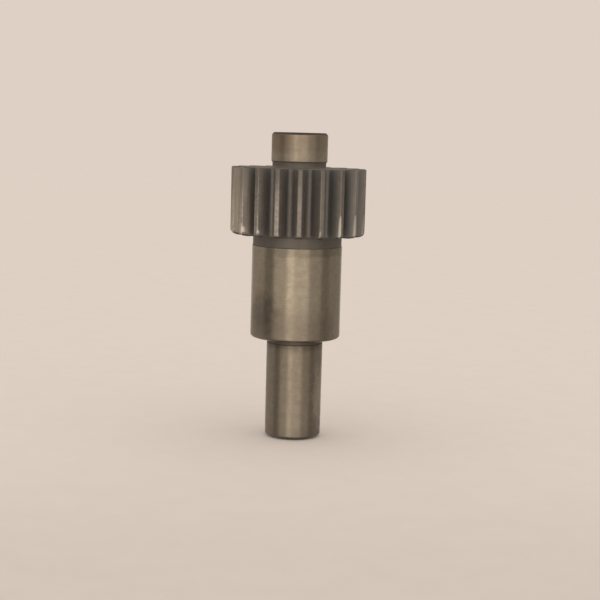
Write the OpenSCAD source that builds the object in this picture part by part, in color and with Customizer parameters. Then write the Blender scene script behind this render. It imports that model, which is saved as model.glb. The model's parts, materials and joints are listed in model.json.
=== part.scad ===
// Countershaft: a spur pinion and its three journals, made from one steel bar.
// The bar is turned, hobbed, hardened and then ground on its journals.
// It stands on the end of the long journal, with the shaft's axis along Z.

/* [Pinion] */
// Number of teeth
teeth = 19; // [17:1:30]
// Module, the pitch diameter divided by the number of teeth
gear_module = 2; // [1.75:0.05:3]
// Pressure angle in degrees
pressure_angle = 20; // [17.5:0.5:22]
// Height of a tooth above the pitch circle, in modules
addendum_ratio = 1; // [0.8:0.01:1.1]
// Depth of a tooth space below the pitch circle, in modules
dedendum_ratio = 1.25; // [1.2:0.01:1.35]
// Radius on the corners of the hob that cuts the tooth roots, in modules
hob_corner_ratio = 0.36; // [0.2:0.01:0.36]
// Thickness taken off each tooth, so that the pair runs freely
backlash = 0.08; // [0:0.01:0.3]
// Width of the pinion's face
face_width = 20.8; // [12:0.1:40]
// Broken edge along both sides of each tooth tip
tip_break = 0.15; // [0.05:0.01:0.3]
// Radius of the rounded tooth ends beside the main journal
lower_tooth_round = 1.5; // [0.3:0.05:2]
// Depth of the bevel on the tooth ends beside the short journal
upper_tooth_bevel = 0.3; // [0.1:0.05:1.5]

/* [Short journal] */
// Diameter of the short journal
short_journal_d = 17.4; // [14:0.1:24]
// Distance from the pinion to the free end of the short journal
short_journal_length = 10.8; // [7:0.1:30]
// Width of the neck between the pinion and the short journal
neck_width = 2; // [1.4:0.1:3.5]
// Depth of the neck below the ground surface
neck_depth = 0.36; // [0.1:0.02:0.8]
// Bevel on the free end of the short journal
short_end_bevel = 0.7; // [0.3:0.05:1.5]

/* [Main journal] */
// Diameter of the main journal
main_journal_d = 28; // [26:0.1:28.5]
// Distance from the pinion to the shoulder at the foot of the main journal
main_journal_length = 32; // [15:0.1:80]
// Width of the turned relief under the pinion
relief_width = 3.4; // [1.5:0.1:6]
// Depth of the turned relief below the ground surface
relief_depth = 0.2; // [0.1:0.02:0.6]
// Radius on the edge of the shoulder
shoulder_edge_r = 1; // [0.2:0.05:1.5]

/* [Long journal] */
// Diameter of the long journal
long_journal_d = 17.5; // [14:0.1:24]
// Distance from the shoulder to the free end of the long journal
long_journal_length = 31.5; // [15:0.1:80]
// Width of the grinding undercut beside the shoulder
undercut_width = 1.8; // [0.8:0.1:3]
// Depth of the grinding undercut
undercut_depth = 0.2; // [0.05:0.01:0.4]
// Bevel on the free end of the long journal
long_end_bevel = 1; // [0.3:0.05:1.5]

/* [Corners and centres] */
// Radius in the corners where a journal meets a face
corner_r = 0.4; // [0.2:0.05:0.5]
// Diameter at the mouth of the centre hole in each end
centre_mouth_d = 6; // [4:0.1:8]
// Diameter of the pilot drilling of each centre hole
centre_pilot_d = 2.5; // [1.5:0.1:3.5]
// Depth of the pilot drilling below the end face
centre_pilot_depth = 6.5; // [6:0.1:10]

/* [Hidden] */
$fn = 128;

// Heights along the shaft, from its lower end
shoulder_z = long_journal_length;
pinion_z = shoulder_z + main_journal_length;
pinion_top_z = pinion_z + face_width;
shaft_length = pinion_top_z + short_journal_length;

// Radii of the turned and ground surfaces
long_r = long_journal_d / 2;
undercut_r = long_r - undercut_depth;
main_r = main_journal_d / 2;
relief_r = main_r - relief_depth;
short_r = short_journal_d / 2;
neck_r = short_r - neck_depth;

// Circles of the toothing
pitch_r = gear_module * teeth / 2;
base_r = pitch_r * cos(pressure_angle);
tip_r = pitch_r + gear_module * addendum_ratio;
radian = 180 / PI;

// The hob's tooth: its rounded corner has its centre this far below the pitch line and beside the tooth's middle
hob_corner_r = gear_module * hob_corner_ratio;
hob_corner_depth = gear_module * dedendum_ratio - hob_corner_r;
hob_half_width = gear_module * PI / 4 + backlash / 2;
hob_corner_x = hob_half_width - hob_corner_depth * tan(pressure_angle) - hob_corner_r / cos(pressure_angle);
// How far the hob travels from the root's deepest point to the end of the fillet
hob_travel = hob_corner_depth / tan(pressure_angle);

// Steps along each fillet, each flank and each turned corner
fillet_steps = 6;
flank_steps = 6;
corner_steps = 6;
// Excess by which a cutting shape passes the surface that it cuts
excess = 1;
// Angle to the shaft at which the round on the tooth ends runs out
round_run_out = 15;
// Half of the 60 degree point of a centre drill, and of the 118 degree point of its pilot
centre_half_angle = 30;
pilot_half_angle = 59;

function polar(r, angle) = [r * cos(angle), r * sin(angle)];

// Angle between an involute's start on the base circle and its point at radius r
function involute(r) = tan(acos(base_r / r)) * radian - acos(base_r / r);

// Half of the angle that a tooth takes up at radius r
function half_tooth(r) =
    90 / teeth - backlash / (2 * pitch_r) * radian + involute(pitch_r) - involute(r);

// A point of the root fillet in the hob's own travel: the hob's rounded corner touches the tooth
// where the line from the pitch point through the corner's centre meets it
function fillet_touch(travel) =
    let (reach = norm([travel, hob_corner_depth]))
    [travel, pitch_r - hob_corner_depth] + hob_corner_r / reach * [travel, -hob_corner_depth];

// The same point as radius and angle from the middle of the tooth
function fillet_polar(travel) =
    let (touch = fillet_touch(travel))
    let (rolled = (travel - hob_corner_x) / pitch_r * radian)
    [norm(touch), 180 / teeth - (atan2(touch.x, touch.y) - rolled)];

// Where the fillet ends, the involute starts
form_r = fillet_polar(hob_travel)[0];
break_r = tip_r - tip_break;

function flank_r(i) =
    let (low = tan(acos(min(1, base_r / form_r))))
    let (high = tan(acos(base_r / break_r)))
    base_r * norm([1, low + (high - low) * i / flank_steps]);

// One side of a tooth from the root to the tip, as radius and angle from the tooth's middle
half_outline = [
    for (i = [0 : fillet_steps - 1]) fillet_polar(hob_travel * i / fillet_steps),
    for (i = [0 : flank_steps]) [flank_r(i), half_tooth(flank_r(i))],
    [tip_r, half_tooth(tip_r) - tip_break / tip_r * radian]
];
last_point = len(half_outline) - 1;

// A tooth centred on the given angle
function tooth_outline(middle) = [
    for (i = [0 : last_point]) polar(half_outline[i][0], middle - half_outline[i][1]),
    for (i = [last_point : -1 : 0]) polar(half_outline[i][0], middle + half_outline[i][1])
];

// Points of a quarter round about a centre, from one angle to another
function arc(centre, r, from, to) = [
    for (i = [0 : corner_steps]) centre + polar(r, from + (to - from) * i / corner_steps)
];

// Toothing as the hob leaves it, with one tooth towards -Y
module hobbed_teeth() {
    translate([0, 0, pinion_z])
        linear_extrude(face_width)
            polygon([for (k = [0 : teeth - 1]) each tooth_outline(k * 360 / teeth - 90)]);
}

// Turned blank of the pinion: it rounds the lower ends of the teeth and bevels the upper ones at 45 degrees.
// The round runs out through the tips as a steep cone, so that blank and tips share no surface.
module pinion_blank() {
    round_centre = [tip_r - lower_tooth_round, pinion_z + lower_tooth_round];
    run_out = excess / tan(round_run_out);
    rotate_extrude()
        polygon([
            [0, pinion_z],
            each arc(round_centre, lower_tooth_round, -90, -round_run_out),
            round_centre + polar(lower_tooth_round, -round_run_out) + [excess, run_out],
            [tip_r + excess, pinion_top_z - upper_tooth_bevel - excess],
            [tip_r - upper_tooth_bevel, pinion_top_z],
            [0, pinion_top_z]
        ]);
}

module pinion() {
    intersection() {
        hobbed_teeth();
        pinion_blank();
    }
}

// Journals, neck, relief, undercut and shoulder as one turned profile
module journals() {
    rotate_extrude()
        polygon([
            [0, 0],
            [long_r - long_end_bevel, 0],
            [long_r, long_end_bevel],
            [long_r, shoulder_z - undercut_width],
            [undercut_r, shoulder_z - undercut_width + undercut_depth],
            each arc([undercut_r + corner_r, shoulder_z - corner_r], corner_r, 180, 90),
            each arc([main_r - shoulder_edge_r, shoulder_z + shoulder_edge_r], shoulder_edge_r, -90, 0),
            [main_r, pinion_z - relief_width],
            [relief_r, pinion_z - relief_width + relief_depth],
            each arc([relief_r + corner_r, pinion_z - corner_r], corner_r, 180, 90),
            each arc([neck_r + corner_r, pinion_top_z + corner_r], corner_r, 270, 180),
            [neck_r, pinion_top_z + neck_width - neck_depth],
            [short_r, pinion_top_z + neck_width],
            [short_r, shaft_length - short_end_bevel],
            [short_r - short_end_bevel, shaft_length],
            [0, shaft_length]
        ]);
}

// Centre hole that opens downwards at the origin: a 60 degree cone and a pilot drilling with its point
module centre_hole() {
    mouth_r = centre_mouth_d / 2;
    pilot_r = centre_pilot_d / 2;
    cone_depth = (mouth_r - pilot_r) / tan(centre_half_angle);
    rotate_extrude()
        polygon([
            [0, -excess],
            [mouth_r + excess * tan(centre_half_angle), -excess],
            [pilot_r, cone_depth],
            [pilot_r, centre_pilot_depth],
            [0, centre_pilot_depth + pilot_r / tan(pilot_half_angle)]
        ]);
}

module countershaft() {
    color([0.55, 0.5, 0.43])
        difference() {
            union() {
                pinion();
                journals();
            }
            centre_hole();
            translate([0, 0, shaft_length])
                mirror([0, 0, 1])
                    centre_hole();
        }
}

countershaft();
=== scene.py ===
import json
import math
from typing import NamedTuple

import bmesh
import bpy
from mathutils import Matrix, Vector


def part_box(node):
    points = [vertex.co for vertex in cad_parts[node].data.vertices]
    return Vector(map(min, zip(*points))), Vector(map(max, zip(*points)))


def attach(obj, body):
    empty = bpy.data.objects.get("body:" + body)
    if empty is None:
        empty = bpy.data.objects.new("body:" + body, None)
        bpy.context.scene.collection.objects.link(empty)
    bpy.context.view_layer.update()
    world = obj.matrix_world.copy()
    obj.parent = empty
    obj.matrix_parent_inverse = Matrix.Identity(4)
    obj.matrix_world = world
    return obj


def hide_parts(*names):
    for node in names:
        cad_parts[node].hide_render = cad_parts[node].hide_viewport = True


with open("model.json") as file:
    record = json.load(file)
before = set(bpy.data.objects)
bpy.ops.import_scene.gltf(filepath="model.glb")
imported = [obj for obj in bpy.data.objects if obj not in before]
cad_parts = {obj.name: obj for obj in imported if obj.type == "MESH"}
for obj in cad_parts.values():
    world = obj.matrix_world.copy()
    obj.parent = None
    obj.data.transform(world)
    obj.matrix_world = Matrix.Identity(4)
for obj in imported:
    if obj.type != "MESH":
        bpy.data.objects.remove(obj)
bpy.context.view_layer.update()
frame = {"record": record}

bl_info = {
    "name": "Countershaft",
    "version": (1, 0, 0),
    "blender": (4, 5, 0),
    "location": "View3D > Sidebar > Countershaft",
    "description": "Builds a ground and hobbed steel countershaft with its stage, light and camera",
    "category": "Object",
}

NODE = "countershaft"
PART_LOW, PART_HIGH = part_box(NODE)
PINS = {m["name"]: m["dims"]["r_mm"] / 1000 for m in frame["record"]["mounts"] if m["kind"] == "pin"}

# Degrees in one radian
RADIAN = math.degrees(1)


def length(name, description, default):
    """A size in metres that the sidebar shows."""
    return bpy.props.FloatProperty(
        name=name, description=description, default=default, unit="LENGTH", precision=5, min=0)


def angle(name, description, default):
    """An angle that the sidebar shows in degrees."""
    return bpy.props.FloatProperty(
        name=name, description=description, default=math.radians(default), unit="ROTATION")


def colour(name, description, default):
    """A colour in linear light."""
    return bpy.props.FloatVectorProperty(
        name=name, description=description, default=default, subtype="COLOR", size=3, min=0, max=1)


def level(name, description, default):
    """A plain number, such as a brightness or a ratio."""
    return bpy.props.FloatProperty(name=name, description=description, default=default, min=0)


class PinionSizes(bpy.types.PropertyGroup):
    """Sizes of the toothing, and of the wear on its tips"""
    teeth: bpy.props.IntProperty(name="Teeth", description="Number of teeth", default=19, min=17)
    tip_r: length("Tip radius", "Radius over the tooth tips", -PART_LOW.y)
    face_width: length("Face width", "Width of the toothing", 0.0208)
    pressure_angle: angle("Pressure angle", "Pressure angle of the hob", 20)
    dedendum: level("Dedendum", "Depth of a tooth space below the pitch circle, in modules", 1.25)
    hob_corner: level("Hob corner", "Radius on the hob's corners, in modules", 0.36)
    backlash: length("Backlash", "Thickness taken off each tooth", 0.00008)
    tip_break: length("Tip break", "Broken edge along the tooth tips", 0.00015)
    lower_round: length("Lower round", "Radius of the tooth ends beside the main journal", 0.0015)
    upper_bevel: length("Upper bevel", "Bevel on the tooth ends beside the short journal", 0.0003)
    deburr: length("Deburring", "Chamfer along the flanks' lower end edges", 0.00055)
    wear_depth: length("Wear depth", "Depth of the worn facets on the left tip edges", 0.00105)
    wear_width: length("Wear width", "Width that these facets take off the tip", 0.0003)
    wear_length: length("Wear length", "Length of the facet on the tooth that it reaches most", 0.0077)
    wear_side: angle("Wear side", "Direction of the teeth whose left edge is worn most", 57)
    spot_depth: length("Spot depth", "Depth of the worn facets on the right tip edges", 0.0018)
    spot_width: length("Spot width", "Width that these facets take off the tip", 0.0003)
    spot_length: length("Spot length", "Length of the facet on the tooth that it reaches most", 0.0034)
    spot_side: angle("Spot side", "Direction of the teeth whose right edge is worn most", -57)


class JournalSizes(bpy.types.PropertyGroup):
    """Sizes of the journals and of the turned grooves, edges and centre holes beside them"""
    short_r: length("Short journal radius", "Radius of the short journal", PINS["short_journal"])
    main_r: length("Main journal radius", "Radius of the main journal", PINS["main_journal"])
    long_r: length("Long journal radius", "Radius of the long journal", PINS["long_journal"])
    shoulder_z: length("Shoulder height", "Height of the shoulder over the long journal's end", 0.0315)
    pinion_z: length("Pinion height", "Height of the pinion's lower face", 0.0635)
    total: length("Total length", "Length of the whole shaft", PART_HIGH.z)
    neck_width: length("Neck width", "Width of the neck above the pinion", 0.002)
    neck_depth: length("Neck depth", "Depth of the neck below the ground surface", 0.00036)
    relief_width: length("Relief width", "Width of the relief under the pinion", 0.0034)
    relief_depth: length("Relief depth", "Depth of the relief", 0.0002)
    undercut_width: length("Undercut width", "Width of the undercut beside the shoulder", 0.0018)
    undercut_depth: length("Undercut depth", "Depth of the undercut", 0.0002)
    short_bevel: length("Short end bevel", "Bevel on the free end of the short journal", 0.0007)
    long_bevel: length("Long end bevel", "Bevel on the free end of the long journal", 0.001)
    shoulder_edge_r: length("Shoulder edge", "Radius on the shoulder's edge", 0.001)
    corner_r: length("Corner radius", "Radius where a journal meets a face", 0.0004)
    edge_r: length("Edge radius", "Radius of the edges that deburring leaves", 0.00008)
    bevel_edge_r: length("Bevel edge radius", "Radius where a bevel meets a journal", 0.0003)
    centre_mouth_r: length("Centre mouth", "Radius at the mouth of the centre holes", 0.003)
    centre_pilot_r: length("Centre pilot", "Radius of the centre holes' pilot drilling", 0.00125)
    centre_pilot_depth: length("Pilot depth", "Depth of the pilot drilling", 0.0065)


class SteelColours(bpy.types.PropertyGroup):
    """Colours of the steel, by how each surface was cut and how it has aged; some also paint shade,
    sheen and highlights
    """
    ground: colour("Ground steel", "Colour of the ground journals", (0.58, 0.54, 0.425))
    ground_warm: colour("Warm tint", "Pinkish brown patches on the journals", (0.555, 0.487, 0.39))
    straw: colour("Straw tint", "Warm tint of the short journal", (0.50, 0.40, 0.28))
    # Besides real brown stains and blotches, this colour paints shade under the shoulder and down the
    # short journal's left side; it also darkens the undercut and the top end
    stain: colour("Stain", "Brown stains on the journals", (0.20, 0.17, 0.145))
    # This lighter steel also paints sheen on the journals' right sides and a highlight down the short
    # journal
    cleaned: colour("Cleaned steel", "Places that handling keeps clean", (0.84, 0.78, 0.64))
    turned: colour("Turned steel", "Colour of neck, relief and bevels", (0.235, 0.225, 0.205))
    faced: colour("Faced steel", "Colour of the faced ends", (0.50, 0.465, 0.42))
    hobbed: colour("Hobbed steel", "Colour of the tooth flanks", (0.30, 0.28, 0.256))
    # Besides old oil in the tooth spaces, this colour paints shade up the right teeth's flanks, under
    # the tooth ends and at the top end
    film: colour("Old oil", "Dark film in the tooth spaces", (0.155, 0.160, 0.162))
    # Besides wear polish, this colour paints a highlight at the lower ends of the left teeth
    polished: colour("Polished steel", "Colour where wear has polished the teeth", (0.72, 0.69, 0.62))


class StudioSettings(bpy.types.PropertyGroup):
    """Colours of the stage, and brightness of the light by its direction"""
    floor: colour("Floor", "Colour of the pale floor", (0.74, 0.73, 0.72))
    floor_r: length("Floor radius", "Distance at which the floor has faded into the backdrop", 3.0)
    light: colour("Light", "Warm tint of the studio light", (1.0, 0.87, 0.76))
    backdrop: colour("Backdrop", "Colour of the plain backdrop", (0.73, 0.63, 0.555))
    front: level("Front panel", "Brightness of the front panel's left third", 0.97)
    front_middle: level("Front middle", "Brightness of the front panel's middle", 0.70)
    front_right: level("Front right", "Brightness of the front panel's right third", 0.715)
    left: level("Left panel", "Brightness of the left panel", 0.50)
    right: level("Right panel", "Brightness of the right panel", 0.37)
    dark: level("Gaps", "Brightness between the panels", 0.19)
    left_side: level("Left side", "Brightness behind the left gap", 0.335)
    right_side: level("Right side", "Brightness behind the right gap", 0.26)
    back: level("Back panel", "Brightness of the back panel", 0.55)
    above: level("Above", "Brightness of the light from above", 0.5)
    below: level("Below", "Share of the panels' brightness which comes from below", 0.12)


class ViewSettings(bpy.types.PropertyGroup):
    """Where the camera stands and where it aims"""
    azimuth: angle("Azimuth", "Direction of the camera, from the front to the right", -1.35)
    elevation: angle("Elevation", "Angle of the camera above the horizon", 7.038)
    roll: angle("Roll", "Lean of the camera", 1.549)
    distance: length("Distance", "Distance from the camera to the point that it aims at", 0.4231)
    aim_z: length("Aim height", "Height of the point on the axis that the camera aims at", 0.04300)
    side: length("Side offset", "Distance by which the camera passes the axis", 0.00134)
    focal: level("Focal length", "Focal length in millimetres", 81)


# Points of a tooth's half outline on the fillet, the flank and the broken edge
FILLET_POINTS = 5
FLANK_POINTS = 6
BREAK_POINTS = 3
LAND_POINTS = 1
TOOTH_POINTS = 2 * (FILLET_POINTS + FLANK_POINTS + BREAK_POINTS + LAND_POINTS) + 2
# Steps round each softened corner of a turned profile, fewer where its radius is under a size
CORNER_STEPS = 6
FINE_STEPS = 2
FINE_RADIUS = 0.0001
# Height steps in the rounded tooth ends, and along the worn facets
ROUND_STEPS = 6
WEAR_STEPS = 9
# Share of a broken edge's depth and width at which its curve bends most
BREAK_BEND = 0.3
# Polish at the start of a broken edge, and its rise from there to the tip
BREAK_POLISH = 0.2
BREAK_POLISH_RISE = 1.2
# Share of the tip's half width at which its flat land starts
LAND_SHARE = 0.75
# How much faster a worn facet's polish grows than its size
POLISH_GROWTH = 6
# Height in which the polish of a facet fades towards the tooth's end
POLISH_FADE = 0.0005
# Share of the shoulder's rounded edge that is as bright as the ground journal
BRIGHT_EDGE = 0.9
# Distance under which two points are one
WELD = 1e-6
# Largest angle between faces that still shade as one surface
SMOOTH_ANGLE = math.radians(28)
# Upward share of a face's normal over which the face is an end face
FLAT = 0.95
# Half of the 60 degree point of a centre drill, and of the 118 degree point of its pilot
CENTRE_HALF_ANGLE = math.radians(30)
PILOT_HALF_ANGLE = math.radians(59)
# Materials of the shaft, in the order of their slots
TURNED, GROUND, HOBBED, FACED = range(4)
# Sockets of a mix node for colours: factor, first and second colour, and the result
MIX_INPUTS = (0, 6, 7)
MIX_OUTPUT = 2
# Ranges of the noise that become blotches and specks, and how much finer the specks are
BLOTCH_RANGE = (0.36, 0.64)
SPECK_RANGE = (0.60, 0.74)
SPECKS_FINER = 7
# Shares of a spot's half size between which its strength falls to nothing
SPOT_CORE = 0.5
SPOT_END = 1.3
# Turn of the stretched highlights, so that they run along the shaft
QUARTER_TURN = 0.25
# Distance in front of the camera at which its view starts
NEAREST_SEEN = 0.01


class Wear(NamedTuple):
    """Worn facets on one edge of the tips.

    Away from the most worn tooth they shrink over the spread to their least size. They swell towards the
    tooth's end, where a short length stays dull."""
    least: float
    spread: float
    swell: float
    dull_end: float
    polish: float


# Wear on the left and on the right edges of the tips
LEFT_WEAR = Wear(least=0.08, spread=0.65, swell=0.55, dull_end=0.0004, polish=0.78)
RIGHT_WEAR = Wear(least=0, spread=0.45, swell=0.3, dull_end=0.0010, polish=1)


class Toothing:
    """The tooth's outline as a hob leaves it, in polar points about the shaft's axis."""

    def __init__(self, sizes):
        self.sizes = sizes
        self.teeth = sizes.teeth
        self.module = sizes.tip_r / (sizes.teeth / 2 + 1)
        self.pitch_r = self.module * sizes.teeth / 2
        self.base_r = self.pitch_r * math.cos(sizes.pressure_angle)
        slope = math.tan(sizes.pressure_angle)
        self.corner_r = self.module * sizes.hob_corner
        self.corner_depth = self.module * sizes.dedendum - self.corner_r
        half_width = self.module * math.pi / 4 + sizes.backlash / 2
        corner_width = self.corner_r / math.cos(sizes.pressure_angle)
        self.corner_x = half_width - self.corner_depth * slope - corner_width
        self.travel = self.corner_depth / slope
        at_pitch = math.pi / 2 / self.teeth - sizes.backlash / 2 / self.pitch_r
        self.half_at_base = at_pitch + slope - sizes.pressure_angle

    def fillet(self, share_of_travel, inset):
        """Point of the root fillet as radius and angle from the tooth's middle."""
        travel = self.travel * share_of_travel
        lean = (self.corner_r + inset) / math.hypot(travel, self.corner_depth)
        x = travel * (1 + lean)
        y = self.pitch_r - self.corner_depth * (1 + lean)
        rolled = (travel - self.corner_x) / self.pitch_r
        return math.hypot(x, y), math.pi / self.teeth - (math.atan2(x, y) - rolled)

    def string(self, r):
        """Length of the string that an involute has unrolled where it reaches radius r."""
        return math.sqrt(max(0, r * r - self.base_r ** 2))

    def flank(self, string, inset):
        """Point of the involute flank, moved by an inset into the tooth along the string."""
        short = string - inset
        turn = self.half_at_base - string / self.base_r + math.atan(short / self.base_r)
        return math.hypot(self.base_r, short), turn

    def cut_back(self, tip_r, inset, below, cut):
        """Point of the flank at a depth below the tip, cut back round the axis."""
        return Vector(self.flank(self.string(tip_r - below) + inset, inset)) - Vector((0, cut / tip_r))

    def half_outline(self, tip_r, inset, depth, width, polish):
        """One side of a tooth from its root to its tip: radius, angle and polish of each point.

        The side is moved into the tooth by an inset, and the tip's edge is broken by depth and width."""
        points = [(*self.fillet(i / FILLET_POINTS, inset), 0) for i in range(FILLET_POINTS)]
        low = self.string(self.fillet(1, 0)[0])
        high = self.string(tip_r - depth) + inset
        for i in range(FLANK_POINTS):
            points.append((*self.flank(low + (high - low) * i / (FLANK_POINTS - 1), inset), 0))
        start = Vector(points[-1][:2])
        bend = self.cut_back(tip_r, inset, depth * BREAK_BEND, width * BREAK_BEND)
        end = self.cut_back(tip_r, inset, 0, width)
        for i in range(1, BREAK_POINTS + 1):
            t = i / BREAK_POINTS
            at = start * (1 - t) ** 2 + bend * 2 * t * (1 - t) + end * t * t
            points.append((*at, polish * min(1, BREAK_POLISH + BREAK_POLISH_RISE * t)))
        points.append((tip_r, end[1] * LAND_SHARE, polish))
        return points

    def facets(self, middle, tip_r, height):
        """Depth, width and polish of the facets on a tooth's left and right tip edge, at a height.

        The rounded tooth end cuts a facet off where it falls below it."""
        sizes = self.sizes
        both = (
            (LEFT_WEAR, sizes.wear_side, sizes.wear_length, sizes.wear_depth, sizes.wear_width),
            (RIGHT_WEAR, sizes.spot_side, sizes.spot_length, sizes.spot_depth, sizes.spot_width))
        for wear, side, reach, depth, width in both:
            share = wear.least + (1 - wear.least) * nearness(middle, side, wear.spread)
            grown = share * max(0, 1 - height / (reach * share + WELD)) ** wear.swell
            kept = max(0, grown - (sizes.tip_r - tip_r) / depth)
            above_end = max(0, min(1, (height - wear.dull_end) / POLISH_FADE))
            polish = wear.polish * min(1, kept * POLISH_GROWTH) * above_end
            yield sizes.tip_break + depth * kept, sizes.tip_break + width * kept, polish

    def outline(self, tip_r, height, inset):
        """Points of the toothing's section, anticlockwise from a tooth space, and their polish."""
        points = []
        for k in range(self.teeth):
            middle = 2 * math.pi * k / self.teeth
            facets = self.facets(middle, tip_r, height)
            left, right = (self.half_outline(tip_r - inset, inset, *facet) for facet in facets)
            points.append((self.fillet(0, inset)[0], middle - math.pi / self.teeth, 0))
            points += [(r, middle - a, polish) for r, a, polish in left]
            points.append((tip_r - inset, middle, 0))
            points += [(r, middle + a, polish) for r, a, polish in reversed(right)]
        flat = [Vector((r * math.sin(a), -r * math.cos(a))) for r, a, _ in points]
        return flat, [polish for _, _, polish in points]


def nearness(turn, side, spread):
    """One where a direction points to a side, falling off steeply at a spread on both sides of it."""
    return math.exp(-(math.remainder(turn - side, 2 * math.pi) / spread) ** 4)


def softened(corners):
    """Points of a turned profile whose corners (radius, height, edge radius) are rounded."""
    points = []
    sharp = [Vector(c[:2]) for c in corners]
    for i, (here, (_, _, edge_r)) in enumerate(zip(sharp, corners)):
        if i in (0, len(corners) - 1) or not edge_r:
            points.append(here)
            continue
        back = (sharp[i - 1] - here).normalized()
        on = (sharp[i + 1] - here).normalized()
        half = back.angle(on) / 2
        centre = here + (back + on).normalized() * edge_r / math.sin(half)
        start = here + back * edge_r / math.tan(half) - centre
        end = here + on * edge_r / math.tan(half) - centre
        steps = FINE_STEPS if edge_r < FINE_RADIUS else CORNER_STEPS
        points += [centre + start.slerp(end, s / steps) * edge_r for s in range(steps + 1)]
    return points


def deselect_all():
    """Leaves object mode with nothing selected."""
    if bpy.context.object and bpy.context.object.mode != "OBJECT":
        bpy.ops.object.mode_set(mode="OBJECT")
    bpy.ops.object.select_all(action="DESELECT")


def turned(name, corners, steps):
    """A turned length of the shaft: its profile is drawn point by point and turned about the axis."""
    points = softened(corners)
    deselect_all()
    bpy.ops.mesh.primitive_plane_add(size=WELD, location=(0, 0, 0))
    made = bpy.context.object
    made.name = name
    bpy.ops.object.mode_set(mode="EDIT")
    bpy.ops.mesh.merge(type="CENTER")
    bpy.ops.transform.translate(value=(0, -points[0].x, points[0].y))
    for before, after in zip(points, points[1:]):
        step = after - before
        bpy.ops.mesh.extrude_vertices_move(TRANSFORM_OT_translate={"value": (0, -step.x, step.y)})
    bpy.ops.object.mode_set(mode="OBJECT")
    bpy.ops.object.modifier_add(type="SCREW")
    lathe = made.modifiers[-1]
    lathe.steps = lathe.render_steps = steps
    lathe.use_merge_vertices = True
    lathe.merge_threshold = WELD
    bpy.ops.object.modifier_apply(modifier=lathe.name)
    bpy.ops.object.mode_set(mode="EDIT")
    bpy.ops.mesh.select_all(action="SELECT")
    bpy.ops.mesh.remove_doubles(threshold=WELD)
    bpy.ops.object.mode_set(mode="OBJECT")
    return made


def circle(count, radius, first):
    """Points evenly round the axis, from the direction of the first one."""
    turns = (first + 2 * math.pi * i / count for i in range(count))
    return [Vector((radius * math.sin(t), -radius * math.cos(t))) for t in turns]


def shape_ring(made, flat, z, polish=None):
    """Moves the selected ring onto an outline, point by point in the first ring's order."""
    mesh = bmesh.from_edit_mesh(made.data)
    order = mesh.verts.layers.int["order"]
    worn = mesh.verts.layers.float["worn"]
    ring = sorted((v for v in mesh.verts if v.select), key=lambda v: v[order])
    for vert, point, value in zip(ring, flat, polish or [0] * len(ring)):
        vert.co = (point.x, point.y, z)
        vert[worn] = value
    bmesh.update_edit_mesh(made.data)


def number_ring(made, first):
    """Numbers a new circle's points round the axis, from the direction of the first one."""
    mesh = bmesh.from_edit_mesh(made.data)
    mesh.verts.layers.float.new("worn")
    order = mesh.verts.layers.int.new("order")
    step = 2 * math.pi / len(mesh.verts)
    for vert in mesh.verts:
        vert[order] = round((math.atan2(vert.co.x, -vert.co.y) - first) / step) % len(mesh.verts)
    bmesh.update_edit_mesh(made.data)


def hobbed(name, sizes, bottom, lower_r, upper_r):
    """The toothing: a ring grows to the tooth outline, is extruded up and closes in again."""
    cut = Toothing(sizes)
    count = sizes.teeth * TOOTH_POINTS
    first = -math.pi / sizes.teeth
    deselect_all()
    bpy.ops.mesh.primitive_circle_add(vertices=count, radius=lower_r, location=(0, 0, bottom))
    bpy.ops.object.transform_apply(location=True)
    made = bpy.context.object
    made.name = name
    bpy.ops.object.mode_set(mode="EDIT")
    bpy.ops.mesh.select_all(action="SELECT")
    number_ring(made, first)
    shape_ring(made, circle(count, lower_r, first), bottom)
    for height, tip_r, inset in tooth_heights(sizes):
        bpy.ops.mesh.extrude_edges_move()
        flat, polish = cut.outline(tip_r, height, inset)
        shape_ring(made, flat, bottom + height, polish)
    bpy.ops.mesh.extrude_edges_move()
    shape_ring(made, circle(count, upper_r, first), bottom + sizes.face_width)
    bpy.ops.object.mode_set(mode="OBJECT")
    made.data.attributes.remove(made.data.attributes["order"])
    return made


def tooth_heights(sizes):
    """Sections of the toothing from its lower face up: height, tip radius and inset."""
    sections = []
    round_r = sizes.lower_round
    for i in range(ROUND_STEPS + 1):
        turn = math.pi / 2 * i / ROUND_STEPS
        height = round_r * (1 - math.cos(turn))
        tip_r = sizes.tip_r - round_r * (1 - math.sin(turn))
        sections.append((height, tip_r, max(0, sizes.deburr - height)))
    for i in range(1, WEAR_STEPS + 1):
        sections.append((round_r + (sizes.wear_length - round_r) * i / WEAR_STEPS, sizes.tip_r, 0))
    bevel = sizes.upper_bevel
    width = sizes.face_width
    return sections + [
        (width - bevel * 1.5, sizes.tip_r, 0),
        (width - bevel, sizes.tip_r, 0),
        (width - bevel / 2, sizes.tip_r - bevel / 2, 0),
        (width, sizes.tip_r - bevel, bevel / 2),
    ]


def centre_hole(sizes):
    """Corners of a centre hole from its deepest point to its mouth: radius, depth and edge radius."""
    cone = (sizes.centre_mouth_r - sizes.centre_pilot_r) / math.tan(CENTRE_HALF_ANGLE)
    point = sizes.centre_pilot_r / math.tan(PILOT_HALF_ANGLE)
    return [
        (0, sizes.centre_pilot_depth + point, 0),
        (sizes.centre_pilot_r, sizes.centre_pilot_depth, sizes.edge_r),
        (sizes.centre_pilot_r, cone, sizes.edge_r),
        (sizes.centre_mouth_r, 0, sizes.edge_r),
    ]


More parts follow.
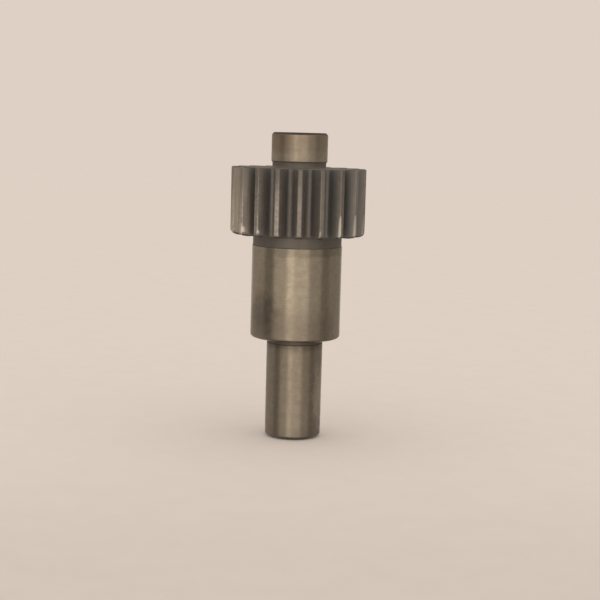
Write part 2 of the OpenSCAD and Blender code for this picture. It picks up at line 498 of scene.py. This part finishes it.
def lower_profile(sizes):
    """Long journal, undercut, shoulder, main journal and relief."""
    undercut_r = sizes.long_r - sizes.undercut_depth
    relief_r = sizes.main_r - sizes.relief_depth
    undercut_z = sizes.shoulder_z - sizes.undercut_width
    relief_z = sizes.pinion_z - sizes.relief_width
    return centre_hole(sizes) + [
        (sizes.long_r - sizes.long_bevel, 0, sizes.bevel_edge_r),
        (sizes.long_r, sizes.long_bevel, sizes.bevel_edge_r * 2),
        (sizes.long_r, undercut_z, sizes.edge_r),
        (undercut_r, undercut_z + sizes.undercut_depth, sizes.edge_r),
        (undercut_r, sizes.shoulder_z, sizes.corner_r),
        (sizes.main_r, sizes.shoulder_z, sizes.shoulder_edge_r),
        (sizes.main_r, relief_z, sizes.edge_r),
        (relief_r, relief_z + sizes.relief_depth, sizes.edge_r),
        (relief_r, sizes.pinion_z, sizes.corner_r),
        (relief_r + 2 * sizes.corner_r, sizes.pinion_z, 0),
    ]


def upper_profile(sizes, pinion_top):
    """Neck and short journal."""
    neck_r = sizes.short_r - sizes.neck_depth
    end = sizes.total
    hole = [(r, end - depth, soft) for r, depth, soft in reversed(centre_hole(sizes))]
    return [
        (neck_r + 2 * sizes.corner_r, pinion_top, 0),
        (neck_r, pinion_top, sizes.corner_r),
        (neck_r, pinion_top + sizes.neck_width - sizes.neck_depth, sizes.edge_r),
        (sizes.short_r, pinion_top + sizes.neck_width, sizes.edge_r),
        (sizes.short_r, end - sizes.short_bevel, sizes.bevel_edge_r * 2),
        (sizes.short_r - sizes.short_bevel, end, sizes.bevel_edge_r),
    ] + hole


class COUNTERSHAFT_OT_shaft(bpy.types.Operator):
    """Models the whole shaft as one closed piece and gives it its finishes"""
    bl_idname = "countershaft.shaft"
    bl_label = "Build shaft"

    def execute(self, context):
        sizes = context.scene.journal_sizes
        pinion = context.scene.pinion_sizes
        steps = pinion.teeth * TOOTH_POINTS
        lower_corners = lower_profile(sizes)
        upper_corners = upper_profile(sizes, sizes.pinion_z + pinion.face_width)
        lower = turned("lower_end", lower_corners, steps)
        upper = turned("upper_end", upper_corners, steps)
        made = hobbed("shaft", pinion, sizes.pinion_z, lower_corners[-1][0], upper_corners[0][0])
        deselect_all()
        for piece in (lower, upper, made):
            piece.select_set(True)
        context.view_layer.objects.active = made
        bpy.ops.object.join()
        bpy.ops.object.mode_set(mode="EDIT")
        bpy.ops.mesh.select_all(action="SELECT")
        bpy.ops.mesh.remove_doubles(threshold=WELD)
        bpy.ops.mesh.normals_make_consistent(inside=False)
        bpy.ops.object.mode_set(mode="OBJECT")
        give_finishes(made, sizes, pinion)
        bpy.ops.object.shade_smooth_by_angle(angle=SMOOTH_ANGLE)
        bpy.ops.object.modifier_add(type="WEIGHTED_NORMAL")
        made.modifiers[-1].keep_sharp = True
        bpy.ops.object.modifier_apply(modifier=made.modifiers[-1].name)
        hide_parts(NODE)
        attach(made, "root")
        return {"FINISHED"}


def give_finishes(made, sizes, pinion):
    """Turned, ground, hobbed and faced steel, by the place of each face."""
    for steel in (turned_steel, ground_steel, hobbed_steel, faced_steel):
        made.data.materials.append(steel(bpy.context.scene.steel_colours))
    top = sizes.pinion_z + pinion.face_width
    shoulder = sizes.shoulder_z
    edge = sizes.shoulder_edge_r
    reach = sizes.edge_r / 2
    journals = (
        (sizes.long_r, sizes.long_bevel, shoulder - sizes.undercut_width),
        (sizes.main_r, shoulder, sizes.pinion_z - sizes.relief_width),
        (sizes.main_r - edge * BRIGHT_EDGE, shoulder, shoulder + edge),
        (sizes.short_r, top + sizes.neck_width, sizes.total - sizes.short_bevel),
    )
    for face in made.data.polygons:
        r = math.hypot(face.center.x, face.center.y)
        z = face.center.z
        face.material_index = TURNED
        if any(r > radius - reach and low < z < high for radius, low, high in journals):
            face.material_index = GROUND
        elif sizes.pinion_z < z < top and r > sizes.main_r + sizes.edge_r:
            face.material_index = HOBBED
        elif abs(face.normal.z) > FLAT:
            face.material_index = FACED


def place(tree, kind, inputs=None, **settings):
    """Adds a node. An input given as a socket is linked, and any other value is set."""
    made = tree.nodes.new(kind)
    for name, value in settings.items():
        setattr(made, name, value)
    for key, value in (inputs or {}).items():
        if isinstance(value, bpy.types.NodeSocket):
            tree.links.new(value, made.inputs[key])
        else:
            made.inputs[key].default_value = value
    return made


def maths(operation, *values):
    """A maths node's result, in the first value's tree. More than two values take a row of nodes."""
    if len(values) > 2:
        values = (maths(operation, *values[:-1]), values[-1])
    tree = values[0].id_data
    return place(tree, "ShaderNodeMath", dict(enumerate(values)), operation=operation).outputs[0]


def times(*values):
    """The product of values."""
    return maths("MULTIPLY", *values)


def plus(*values):
    """The sum of values."""
    return maths("ADD", *values)


def largest(*values):
    """The largest of values."""
    return maths("MAXIMUM", *values)


def ramp(value, low, high, to_low=0, to_high=1):
    """A value brought softly from one range to another."""
    tree = value.id_data
    sockets = {"Value": value, "From Min": low, "From Max": high, "To Min": to_low, "To Max": to_high}
    return place(tree, "ShaderNodeMapRange", sockets, interpolation_type="SMOOTHSTEP").outputs[0]


def blend(factor, first, second, mode="MIX"):
    """A mix of two colours."""
    shades = (s if isinstance(s, bpy.types.NodeSocket) else (*s, 1) for s in (first, second))
    sockets = dict(zip(MIX_INPUTS, (factor, *shades)))
    made = place(factor.id_data, "ShaderNodeMix", sockets, data_type="RGBA", blend_type=mode)
    return made.outputs[MIX_OUTPUT]


def noise(vector, scale, detail, roughness):
    """Fractal noise from 0 to 1."""
    sockets = {"Vector": vector, "Scale": scale, "Detail": detail, "Roughness": roughness}
    return place(vector.id_data, "ShaderNodeTexNoise", sockets).outputs[0]


def whereabouts(tree):
    """The place on the object, whole and as X, Y and Z."""
    spot = place(tree, "ShaderNodeTexCoord").outputs["Object"]
    return spot, place(tree, "ShaderNodeSeparateXYZ", {0: spot}).outputs


def distance(vector):
    """The length of a vector."""
    tree = vector.id_data
    return place(tree, "ShaderNodeVectorMath", {0: vector}, operation="LENGTH").outputs["Value"]


def group(name, inputs, outputs):
    """A new node group with these sockets, its input node and its output node."""
    tree = bpy.data.node_groups.new(name, "ShaderNodeTree")
    for label, default in inputs:
        socket = tree.interface.new_socket(label, in_out="INPUT", socket_type="NodeSocketFloat")
        socket.default_value = default
    for label in outputs:
        tree.interface.new_socket(label, in_out="OUTPUT", socket_type="NodeSocketFloat")
    return tree, tree.nodes.new("NodeGroupInput"), tree.nodes.new("NodeGroupOutput")


def use(tree, maker, **inputs):
    """Places the node group that has its maker's name and is built once, and gives its outputs."""
    made = tree.nodes.new("ShaderNodeGroup")
    made.node_tree = bpy.data.node_groups.get(maker.__name__) or maker()
    for label, value in inputs.items():
        made.inputs[label].default_value = value
    return made.outputs


def shaft_place():
    """Place on the shaft: radius, angle from the front, and height, in metres and radians."""
    tree, _, out = group("shaft_place", (), ("Radius", "Angle", "Height"))
    spot, parts = whereabouts(tree)
    flat = place(tree, "ShaderNodeVectorMath", {0: spot, 1: (1, 1, 0)}, operation="MULTIPLY").outputs[0]
    turn = maths("ARCTAN2", parts["X"], times(parts["Y"], -1))
    for label, value in (("Radius", distance(flat)), ("Angle", turn), ("Height", parts["Z"])):
        tree.links.new(value, out.inputs[label])
    return tree


def tool_lines():
    """Fine lines that a tool leaves: round the shaft or along it, by the scale each way."""
    tree, given, out = group("tool_lines", (("Across", 60), ("Along", 9000)), ("Lines",))
    _, parts = whereabouts(tree)
    at = use(tree, shaft_place)
    fed = plus(at["Height"], at["Radius"])
    scaled = place(tree, "ShaderNodeCombineXYZ", {
        "X": times(parts["X"], given.outputs["Across"]),
        "Y": times(parts["Y"], given.outputs["Across"]),
        "Z": times(fed, given.outputs["Along"])}).outputs[0]
    tree.links.new(noise(scaled, scale=1, detail=4, roughness=0.6), out.inputs["Lines"])
    return tree


def patina():
    """Soft blotches and small specks that age and handling leave on bare steel."""
    tree, given, out = group("patina", (("Size", 300), ("Seed", 0)), ("Blotches", "Specks"))
    size = given.outputs["Size"]
    spot, _ = whereabouts(tree)
    away = place(tree, "ShaderNodeCombineXYZ", {"X": given.outputs["Seed"]}).outputs[0]
    moved = place(tree, "ShaderNodeVectorMath", {0: spot, 1: away}, operation="ADD").outputs[0]
    wide = noise(moved, scale=size, detail=4, roughness=0.55)
    finer = times(size, SPECKS_FINER)
    fine = noise(moved, scale=finer, detail=2, roughness=0.5)
    tree.links.new(ramp(wide, *BLOTCH_RANGE), out.inputs["Blotches"])
    tree.links.new(ramp(fine, *SPECK_RANGE), out.inputs["Specks"])
    return tree


class Spot(NamedTuple):
    """A soft mark on the shaft: its middle and half size, each by angle and height, and its strength."""
    angle: float
    height: float
    wide: float
    high: float
    strength: float


def spot_mask(at, spot, wobble=0):
    """The strength of a spot, whose edge a wobble makes ragged."""
    aside = maths("DIVIDE", maths("SUBTRACT", at["Angle"], spot.angle), spot.wide)
    up = maths("DIVIDE", maths("SUBTRACT", at["Height"], spot.height), spot.high)
    away = distance(place(up.id_data, "ShaderNodeCombineXYZ", {"X": aside, "Y": up}).outputs[0])
    return ramp(plus(away, wobble), SPOT_CORE, SPOT_END, spot.strength, 0)


def new_steel(name, metallic=1, anisotropic=0):
    """A metal material with its shader's constants set."""
    steel = bpy.data.materials.new(name)
    steel.use_nodes = True
    tree = steel.node_tree
    shader = tree.nodes["Principled BSDF"]
    shader.inputs["Metallic"].default_value = metallic
    shader.inputs["Anisotropic"].default_value = anisotropic
    shader.inputs["Anisotropic Rotation"].default_value = QUARTER_TURN
    tangent = place(tree, "ShaderNodeTangent", direction_type="RADIAL", axis="Z")
    tree.links.new(tangent.outputs[0], shader.inputs["Tangent"])
    return steel, tree, shader


def finish_steel(shader, colour_socket, roughness, lines, depth):
    """Feeds colour, roughness and the depth of the tool's lines into a steel's shader."""
    tree = shader.id_data
    bump = place(tree, "ShaderNodeBump", {"Height": lines, "Distance": depth})
    tree.links.new(colour_socket, shader.inputs["Base Color"])
    tree.links.new(roughness, shader.inputs["Roughness"])
    tree.links.new(bump.outputs[0], shader.inputs["Normal"])


class GroundMarks:
    """Marks on the ground journals. A ramp is its start, its end, and the strength at both.

    Heights are in metres, and sides are sines of the angle from the front."""
    line_depth = 0.0000007
    straw = (0.0865, 0.0930, 0.05, 0.85)
    smear_wobble = 0.0035
    smear = (0.0385, 0.0460, 1, 0)
    smear_stain = 0.33
    smear_dullness = 0.07
    band_wobble = 0.0006
    below_relief = (0.0572, 0.0586, 0, 0.33)
    below_relief_side = (-0.65, -0.35)
    # Painted shade on the long journal under the shoulder, growing darker towards it
    below_shoulder = (0.0272, 0.0303, 0, 0.45)
    shoulder = (0.0314, 0.0316, 1, 0)
    foot = (0.0060, 0.0010, 0, 0.16)
    short_journal = (0.0835, 0.0845)
    short_dullness = 0.12
    # Painted shade down the left side of the short journal
    short_left = (-0.45, -0.75, 0, 0.24)
    # Painted sheen on the right half of the short journal, stronger towards its top
    short_right = (-0.35, 0.15, 0, 0.25)
    short_right_height = (0.0870, 0.0905, 0.65, 1)
    beside_neck = (0.0905, 0.0880, 0, 0.2)
    # Painted highlight down a narrow strip of the short journal, a little left of its front
    strip_side = -0.26
    strip = (0.05, 0.2, 0.2, 0)
    ragged = 0.3
    # Painted sheen: lighter steel on the right sides of the long and main journals
    handled_long = Spot(angle=1.25, height=0.0135, wide=0.6, high=0.012, strength=0.55)
    handled_main = Spot(angle=1.2, height=0.0360, wide=0.35, high=0.0075, strength=0.3)
    brown = Spot(angle=-0.85, height=0.0402, wide=0.5, high=0.0075, strength=0.52)
    lines = (0.35, 0.65, 0, 0.1)
    mottle = (0, 1, 0, 0.11)
    specks = 0.2
    roughness = (0, 1, 0.22, 0.29)


def ground_steel(colours):
    """Ground journals: fine lines round the shaft, a mottled olive and pinkish tint, brown stains,
    painted shade under the shoulder and down the short journal's left side, and painted sheen and a
    highlight on the journals' right sides and the short journal.
    """
    steel, tree, shader = new_steel("ground_steel", anisotropic=0.55)
    marks = GroundMarks
    at = use(tree, shaft_place)
    lines = use(tree, tool_lines, Across=90, Along=9000)["Lines"]
    skin = use(tree, patina, Size=420)
    mottle = use(tree, patina, Size=800, Seed=5)["Blotches"]
    blotches = skin["Blotches"]
    height = at["Height"]
    sine = maths("SINE", at["Angle"])
    smeared = plus(height, times(blotches, marks.smear_wobble))
    smear = ramp(smeared, *marks.smear)
    wavy = plus(height, times(blotches, marks.band_wobble))
    short = ramp(height, *marks.short_journal)
    tint = blend(blotches, colours.ground, colours.ground_warm)
    warm = blend(ramp(height, *marks.straw), tint, colours.straw)
    # Stains, with painted shade under the shoulder and down the short journal's left side
    bands = plus(
        times(ramp(wavy, *marks.below_relief), ramp(sine, *marks.below_relief_side)),
        times(ramp(wavy, *marks.below_shoulder), ramp(height, *marks.shoulder)),
        times(smear, marks.smear_stain),
        ramp(wavy, *marks.foot),
        times(short, ramp(sine, *marks.short_left)))
    banded = blend(bands, warm, colours.stain)
    ragged = times(blotches, marks.ragged)
    # On the short journal: a painted highlight strip, painted sheen on its right half, and lighter steel
    # beside the neck
    off_strip = maths("ABSOLUTE", maths("SUBTRACT", sine, marks.strip_side))
    rubbed_and_sheen = plus(
        times(ramp(height, *marks.short_right_height), ramp(sine, *marks.short_right)),
        ramp(wavy, *marks.beside_neck),
        ramp(off_strip, *marks.strip))
    # Lighter steel where sheen and a highlight are painted, and beside the neck
    handled = largest(
        spot_mask(at, marks.handled_long, ragged),
        spot_mask(at, marks.handled_main, ragged),
        times(short, rubbed_and_sheen))
    cleaned = blend(handled, banded, colours.cleaned)
    spotted = blend(spot_mask(at, marks.brown, ragged), cleaned, colours.stain)
    grain = plus(ramp(lines, *marks.lines), ramp(mottle, *marks.mottle))
    lined = blend(grain, spotted, colours.stain)
    stained = blend(times(skin["Specks"], marks.specks), lined, colours.stain)
    roughness = plus(
        ramp(blotches, *marks.roughness),
        times(smear, marks.smear_dullness),
        times(short, marks.short_dullness))
    finish_steel(shader, stained, roughness, lines, marks.line_depth)
    return steel


class TurnedMarks:
    """Marks on the turned surfaces, as ramps over heights or patterns."""
    line_depth = 0.000004
    undercut = (0.0296, 0.0297)
    undercut_end = (0.0316, 0.0317, 0.75, 0)
    # Painted shade at the top end, on the bevel and at the mouth of the centre hole
    bevel = (0.0943, 0.0945, 0, 0.7)
    blotches = (0, 1, 0.05, 0.4)
    roughness = (0.3, 0.7, 0.4, 0.54)


def turned_steel(colours):
    """Turned surfaces left unground: feed marks, a dull, dark skin that is darker in the undercut, and
    painted shade at the top end.
    """
    steel, tree, shader = new_steel("turned_steel", metallic=0.75, anisotropic=0.3)
    marks = TurnedMarks
    height = use(tree, shaft_place)["Height"]
    lines = use(tree, tool_lines, Across=60, Along=5000)["Lines"]
    blotches = use(tree, patina, Size=350, Seed=3)["Blotches"]
    undercut = times(ramp(height, *marks.undercut), ramp(height, *marks.undercut_end))
    darkened = plus(ramp(blotches, *marks.blotches), undercut)
    skin = blend(darkened, colours.turned, colours.stain)
    # The top end is darkened with the oil colour: painted shade
    dark = blend(ramp(height, *marks.bevel), skin, colours.film, "MULTIPLY")
    finish_steel(shader, dark, ramp(lines, *marks.roughness), lines, marks.line_depth)
    return steel


class FacedMarks:
    """Marks on the faced ends, as ramps over heights or patterns."""
    line_depth = 0.000005
    edge_tint = (0.3, 0.3, 0.3, 1)
    upper_end = (0.0945, 0.0950, 0, 0.6)
    blotches = (0, 1, 0, 0.3)
    rings = (0.3, 0.7, 0.3, 0)
    roughness = (0.3, 0.7, 0.5, 0.34)


def faced_steel(colours):
    """End faces: rings that the facing tool left, under a few soft blotches."""
    steel, tree, shader = new_steel("faced_steel", anisotropic=0.4)
    marks = FacedMarks
    shader.inputs["Specular Tint"].default_value = marks.edge_tint
    height = use(tree, shaft_place)["Height"]
    rings = use(tree, tool_lines, Across=12, Along=4200)["Lines"]
    blotches = use(tree, patina, Size=250, Seed=3)["Blotches"]
    darkened = plus(ramp(blotches, *marks.blotches), ramp(height, *marks.upper_end))
    skin = blend(darkened, colours.faced, colours.stain)
    lined = blend(ramp(rings, *marks.rings), skin, colours.stain)
    finish_steel(shader, lined, ramp(rings, *marks.roughness), rings, marks.line_depth)
    return steel


class ToothMarks:
    """Marks on the toothing. A ramp is its start, its end, and the strength at both.

    Radii and heights are in metres, and sides are sines of the angle from the front."""
    line_depth = 0.000003
    film = (0.0200, 0.0174)
    film_floor = (0.0166, 0.0169, 0.5, 1)
    film_streaks = (0.3, 0.7, 0.7, 1)
    # Painted shade: the dark oil reaches further up the flanks on the right side and less far on the
    # left
    film_lean = 0.0010
    film_above = (0.070, 0.080, 0, 0.0005)
    # Painted shade carrying the dark oil further up the flanks of the teeth on the right
    film_right = (0.3, 0.85, 0, 0.0004)
    warm_side = (-0.75, -0.95)
    warm_height = (0.0810, 0.0655, 0.42, 0.85)
    blotches = (0, 1, 0, 0.14)
    grime = (0, 1, 0, 0.12)
    # Painted shade under the rounded lower tooth ends, strongest on the left and middle teeth
    end_turn = 0.17
    end_curve = (0.1, 0.4, 0, 0.0004)
    end = (0.0642, 0.0637)
    end_reach = (0.0188, 0.0196, 0, 0.8)
    end_side = (0.45, 0.75, 1, 0.3)
    bevel = (0.08395, 0.0841, 0, 0.8)
    streaks = (0.62, 0.38, 0, 0.3)
    above = (0.0770, 0.0835, 0, 0.3)
    handled = (0.083, 0.071)
    handled_turn = 0.2
    handled_side = (-0.3, 0.45, 0.66, 0.06)
    uneven = (0, 1, 0.72, 1.12)
    dull = Spot(angle=-0.645, height=0.0770, wide=0.2, high=0.010, strength=0.5)
    # Painted highlight at the lower ends of the left teeth
    bright = Spot(angle=-1.15, height=0.0652, wide=0.36, high=0.0028, strength=1.2)
    outer_side = (0.7, 0.85)
    outer_height = (0.0680, 0.0760, 0, 0.2)
    tip = (0.0206, 0.0209)
    worn = (0.15, 1)
    roughness = (0, 1, 0.5, 0.24)
    metal = (0, 1, 0.86, 0.5)


def tooth_film(at, sine, streaks):
    """Old oil in the tooth spaces, with painted shade that carries it further up the flanks of the teeth
    on the right; it also reaches further up near the top.
    """
    marks = ToothMarks
    reach = plus(
        times(sine, marks.film_lean),
        ramp(at["Height"], *marks.film_above),
        ramp(sine, *marks.film_right))
    covered = maths("SUBTRACT", at["Radius"], reach)
    return times(
        ramp(covered, *marks.film),
        ramp(at["Radius"], *marks.film_floor),
        ramp(streaks, *marks.film_streaks))


def tooth_dirt(at, sine, streaks):
    """Painted shade under the rounded tooth ends, dirt in streaks along the teeth, and darker on the
    bevel and towards the top.
    """
    marks = ToothMarks
    turned_sine = maths("SINE", maths("SUBTRACT", at["Angle"], marks.end_turn))
    aside = maths("ABSOLUTE", turned_sine)
    above_end = maths("SUBTRACT", at["Height"], ramp(aside, *marks.end_curve))
    # Painted shade under the rounded tooth ends
    shaded_ends = times(
        ramp(above_end, *marks.end),
        ramp(at["Radius"], *marks.end_reach),
        ramp(sine, *marks.end_side))
    return largest(
        shaded_ends,
        ramp(at["Height"], *marks.bevel),
        ramp(streaks, *marks.streaks),
        ramp(at["Height"], *marks.above))


def tooth_polish(tree, at, sine, grime):
    """Polish that handling left on the tips, with a painted highlight at the lower ends of the left
    teeth, and polish that the mating gear left on the worn facets.
    """
    marks = ToothMarks
    turned_sine = maths("SINE", plus(at["Angle"], marks.handled_turn))
    patchy = plus(
        maths("SUBTRACT", ramp(grime, *marks.uneven), spot_mask(at, marks.dull)),
        spot_mask(at, marks.bright))
    handled = times(ramp(at["Height"], *marks.handled), ramp(turned_sine, *marks.handled_side), patchy)
    outer_teeth = ramp(maths("ABSOLUTE", sine), *marks.outer_side)
    outer = times(outer_teeth, ramp(at["Height"], *marks.outer_height))
    tips = times(ramp(at["Radius"], *marks.tip), largest(handled, outer))
    worn = place(tree, "ShaderNodeAttribute", attribute_name="worn").outputs["Fac"]
    return largest(tips, ramp(worn, *marks.worn))


def hobbed_steel(colours):
    """Toothing: dark oil in the spaces, painted shade up the right flanks and under the tooth ends, dull
    flanks, tips and facets polished by wear, and a painted highlight on the left teeth's lower ends.
    """
    steel, tree, shader = new_steel("hobbed_steel")
    marks = ToothMarks
    at = use(tree, shaft_place)
    lines = use(tree, tool_lines, Across=5000, Along=160)["Lines"]
    streaks = use(tree, tool_lines, Across=2600, Along=90)["Lines"]
    blotches = use(tree, patina, Size=380, Seed=7)["Blotches"]
    grime = use(tree, patina, Size=900, Seed=11)["Blotches"]
    sine = maths("SINE", at["Angle"])
    # Dark oil in the tooth spaces, with painted shade carrying it further up the flanks on the right
    film = tooth_film(at, sine, streaks)
    # Wear polish, with a painted highlight at the lower ends of the left teeth
    polish = tooth_polish(tree, at, sine, grime)
    warm = times(ramp(sine, *marks.warm_side), ramp(at["Height"], *marks.warm_height))
    mottle = plus(ramp(blotches, *marks.blotches), ramp(grime, *marks.grime))
    warmed = blend(warm, colours.hobbed, colours.ground_warm)
    mottled = blend(mottle, warmed, colours.ground_warm)
    oiled_and_shaded = blend(film, mottled, colours.film)
    # Painted shade under the tooth ends, dirt in streaks, and darker bevel and top, in the oil colour
    darkened = blend(tooth_dirt(at, sine, streaks), oiled_and_shaded, colours.film)
    polished = blend(polish, darkened, colours.polished)
    tree.links.new(ramp(film, *marks.metal), shader.inputs["Metallic"])
    finish_steel(shader, polished, ramp(polish, *marks.roughness), lines, marks.line_depth)
    return steel


class FloorMarks:
    """Ramps of the floor's grain and shade, and the shares of its radius between which it fades."""
    corners = 64
    roughness = 0.95
    grain = (0.3, 0.7, 0, 0.02)
    shade = (-0.02, -0.15, 0, 0.1)
    fade = (0.2, 0.98)


class PanelMarks:
    """Ramps of the light over degrees above the horizon, and half of the softness of a panel's edge."""
    softness = 3
    low = (-80, -40)
    middle = (20, 35)
    high = (82, 68)
    kept_above = 0.3


class COUNTERSHAFT_OT_stage(bpy.types.Operator):
    """Lays the pale floor and sets the soft studio light"""
    bl_idname = "countershaft.stage"
    bl_label = "Set stage"

    def execute(self, context):
        studio = context.scene.studio_settings
        deselect_all()
        bpy.ops.mesh.primitive_circle_add(
            vertices=FloorMarks.corners, radius=studio.floor_r, fill_type="NGON", location=(0, 0, 0))
        floor = context.object
        floor.name = "floor"
        floor.data.materials.append(floor_finish(studio))
        floor.visible_glossy = False
        soft_world(context.scene, studio)
        context.scene.view_settings.view_transform = "Standard"
        return {"FINISHED"}


def floor_finish(studio):
    """Pale matt floor that fades into the backdrop with distance."""
    finish = bpy.data.materials.new("pale_floor")
    finish.use_nodes = True
    tree = finish.node_tree
    shader = tree.nodes["Principled BSDF"]
    shader.inputs["Roughness"].default_value = FloorMarks.roughness
    shader.inputs["Specular IOR Level"].default_value = 0
    spot, parts = whereabouts(tree)
    grain = ramp(noise(spot, scale=90, detail=3, roughness=0.6), *FloorMarks.grain)
    shade = plus(grain, ramp(parts["Y"], *FloorMarks.shade))
    tree.links.new(blend(shade, studio.floor, (0, 0, 0)), shader.inputs["Base Color"])
    start, end = (studio.floor_r * share for share in FloorMarks.fade)
    tree.links.new(ramp(distance(spot), start, end, 1, 0), shader.inputs["Alpha"])
    return finish


def soft_world(scene, studio):
    """World light: plain backdrop for the camera, even fill for the floor, soft panels for the steel."""
    world = bpy.data.worlds.new("soft_studio")
    scene.world = world
    world.use_nodes = True
    tree = world.node_tree
    tree.nodes.clear()
    spot = place(tree, "ShaderNodeTexCoord").outputs["Generated"]
    parts = place(tree, "ShaderNodeSeparateXYZ", {0: spot}).outputs
    turn = maths("ARCTAN2", parts["X"], times(parts["Y"], -1))
    degrees = times(turn, RADIAN)
    rise = times(maths("ARCSINE", parts["Z"]), RADIAN)
    tint = (*studio.light, 1)
    shades = ((tint, panel_light(degrees, rise, studio)), (tint, 1), ((*studio.backdrop, 1), 1))
    panels, fill, plain = (
        place(tree, "ShaderNodeBackground", {"Color": shade, "Strength": strength}).outputs[0]
        for shade, strength in shades)
    path = place(tree, "ShaderNodeLightPath").outputs
    lit = place(tree, "ShaderNodeMixShader", {0: path["Is Glossy Ray"], 1: fill, 2: panels}).outputs[0]
    seen = place(tree, "ShaderNodeMixShader", {0: path["Is Camera Ray"], 1: lit, 2: plain}).outputs[0]
    place(tree, "ShaderNodeOutputWorld", {0: seen})


def panel_light(degrees, rise, studio):
    """Brightness of the studio by direction: front, side and back panels, and the gaps between them."""
    # Direction in degrees, from the front to the right, and the brightness after it
    edges = (
        (-155, studio.left_side), (-90, studio.dark), (-61, studio.left), (-25, studio.front),
        (-8, studio.front_middle), (15, studio.front_right), (31, studio.right), (66, studio.dark),
        (92, studio.right_side), (155, studio.back))
    marks = PanelMarks
    lowered = times(
        stepped(degrees, studio.back, edges),
        ramp(rise, *marks.low, studio.below, 1),
        ramp(rise, *marks.middle, 1, marks.kept_above))
    ring = times(ramp(rise, *marks.middle), ramp(rise, *marks.high), studio.above)
    return plus(lowered, ring)


def stepped(degrees, first, edges):
    """A value that changes softly at each edge (direction, value after it)."""
    soft = PanelMarks.softness
    made = first
    before = first
    for edge, after in edges:
        made = plus(ramp(degrees, edge - soft, edge + soft, 0, after - before), made)
        before = after
    return made


class COUNTERSHAFT_OT_camera(bpy.types.Operator):
    """Sets the camera to look at the standing shaft from the front and a little above"""
    bl_idname = "countershaft.camera"
    bl_label = "Set camera"

    def execute(self, context):
        view = context.scene.camera_view
        a, e, roll = view.azimuth, view.elevation, view.roll
        back = Vector((math.sin(a) * math.cos(e), -math.cos(a) * math.cos(e), math.sin(e)))
        across = Vector((math.cos(a), math.sin(a), 0))
        right = across * math.cos(roll) + back.cross(across) * math.sin(roll)
        aim = Vector((0, 0, view.aim_z))
        data = bpy.data.cameras.new("camera")
        data.lens = view.focal
        data.clip_start = NEAREST_SEEN
        camera = bpy.data.objects.new("camera", data)
        context.scene.collection.objects.link(camera)
        camera.location = aim + back * view.distance + right * view.side
        over = back.cross(right)
        camera.rotation_euler = Matrix((right, over, back)).transposed().to_euler()
        context.scene.camera = camera
        return {"FINISHED"}


class COUNTERSHAFT_PT_sidebar(bpy.types.Panel):
    """Lists the operators, and the sizes and colours that they use"""
    bl_idname = "COUNTERSHAFT_PT_sidebar"
    bl_label = "Countershaft"
    bl_space_type = "VIEW_3D"
    bl_region_type = "UI"
    bl_category = "Countershaft"

    def draw(self, context):
        for operator in OPERATORS:
            self.layout.operator(operator.bl_idname)
        for name, _ in SETTINGS:
            box = self.layout.box()
            settings = getattr(context.scene, name)
            for key in settings.__annotations__:
                box.prop(settings, key)


SETTINGS = (
    ("pinion_sizes", PinionSizes),
    ("journal_sizes", JournalSizes),
    ("steel_colours", SteelColours),
    ("studio_settings", StudioSettings),
    ("camera_view", ViewSettings),
)
OPERATORS = (COUNTERSHAFT_OT_camera, COUNTERSHAFT_OT_shaft, COUNTERSHAFT_OT_stage)


def register():
    for name, kind in SETTINGS:
        bpy.utils.register_class(kind)
        setattr(bpy.types.Scene, name, bpy.props.PointerProperty(type=kind))
    for kind in (*OPERATORS, COUNTERSHAFT_PT_sidebar):
        bpy.utils.register_class(kind)


def unregister():
    for kind in (COUNTERSHAFT_PT_sidebar, *reversed(OPERATORS)):
        bpy.utils.unregister_class(kind)
    for name, kind in reversed(SETTINGS):
        delattr(bpy.types.Scene, name)
        bpy.utils.unregister_class(kind)


def main():
    register()
    bpy.ops.countershaft.camera()
    bpy.ops.countershaft.shaft()
    bpy.ops.countershaft.stage()


if __name__ == "__main__":
    main()
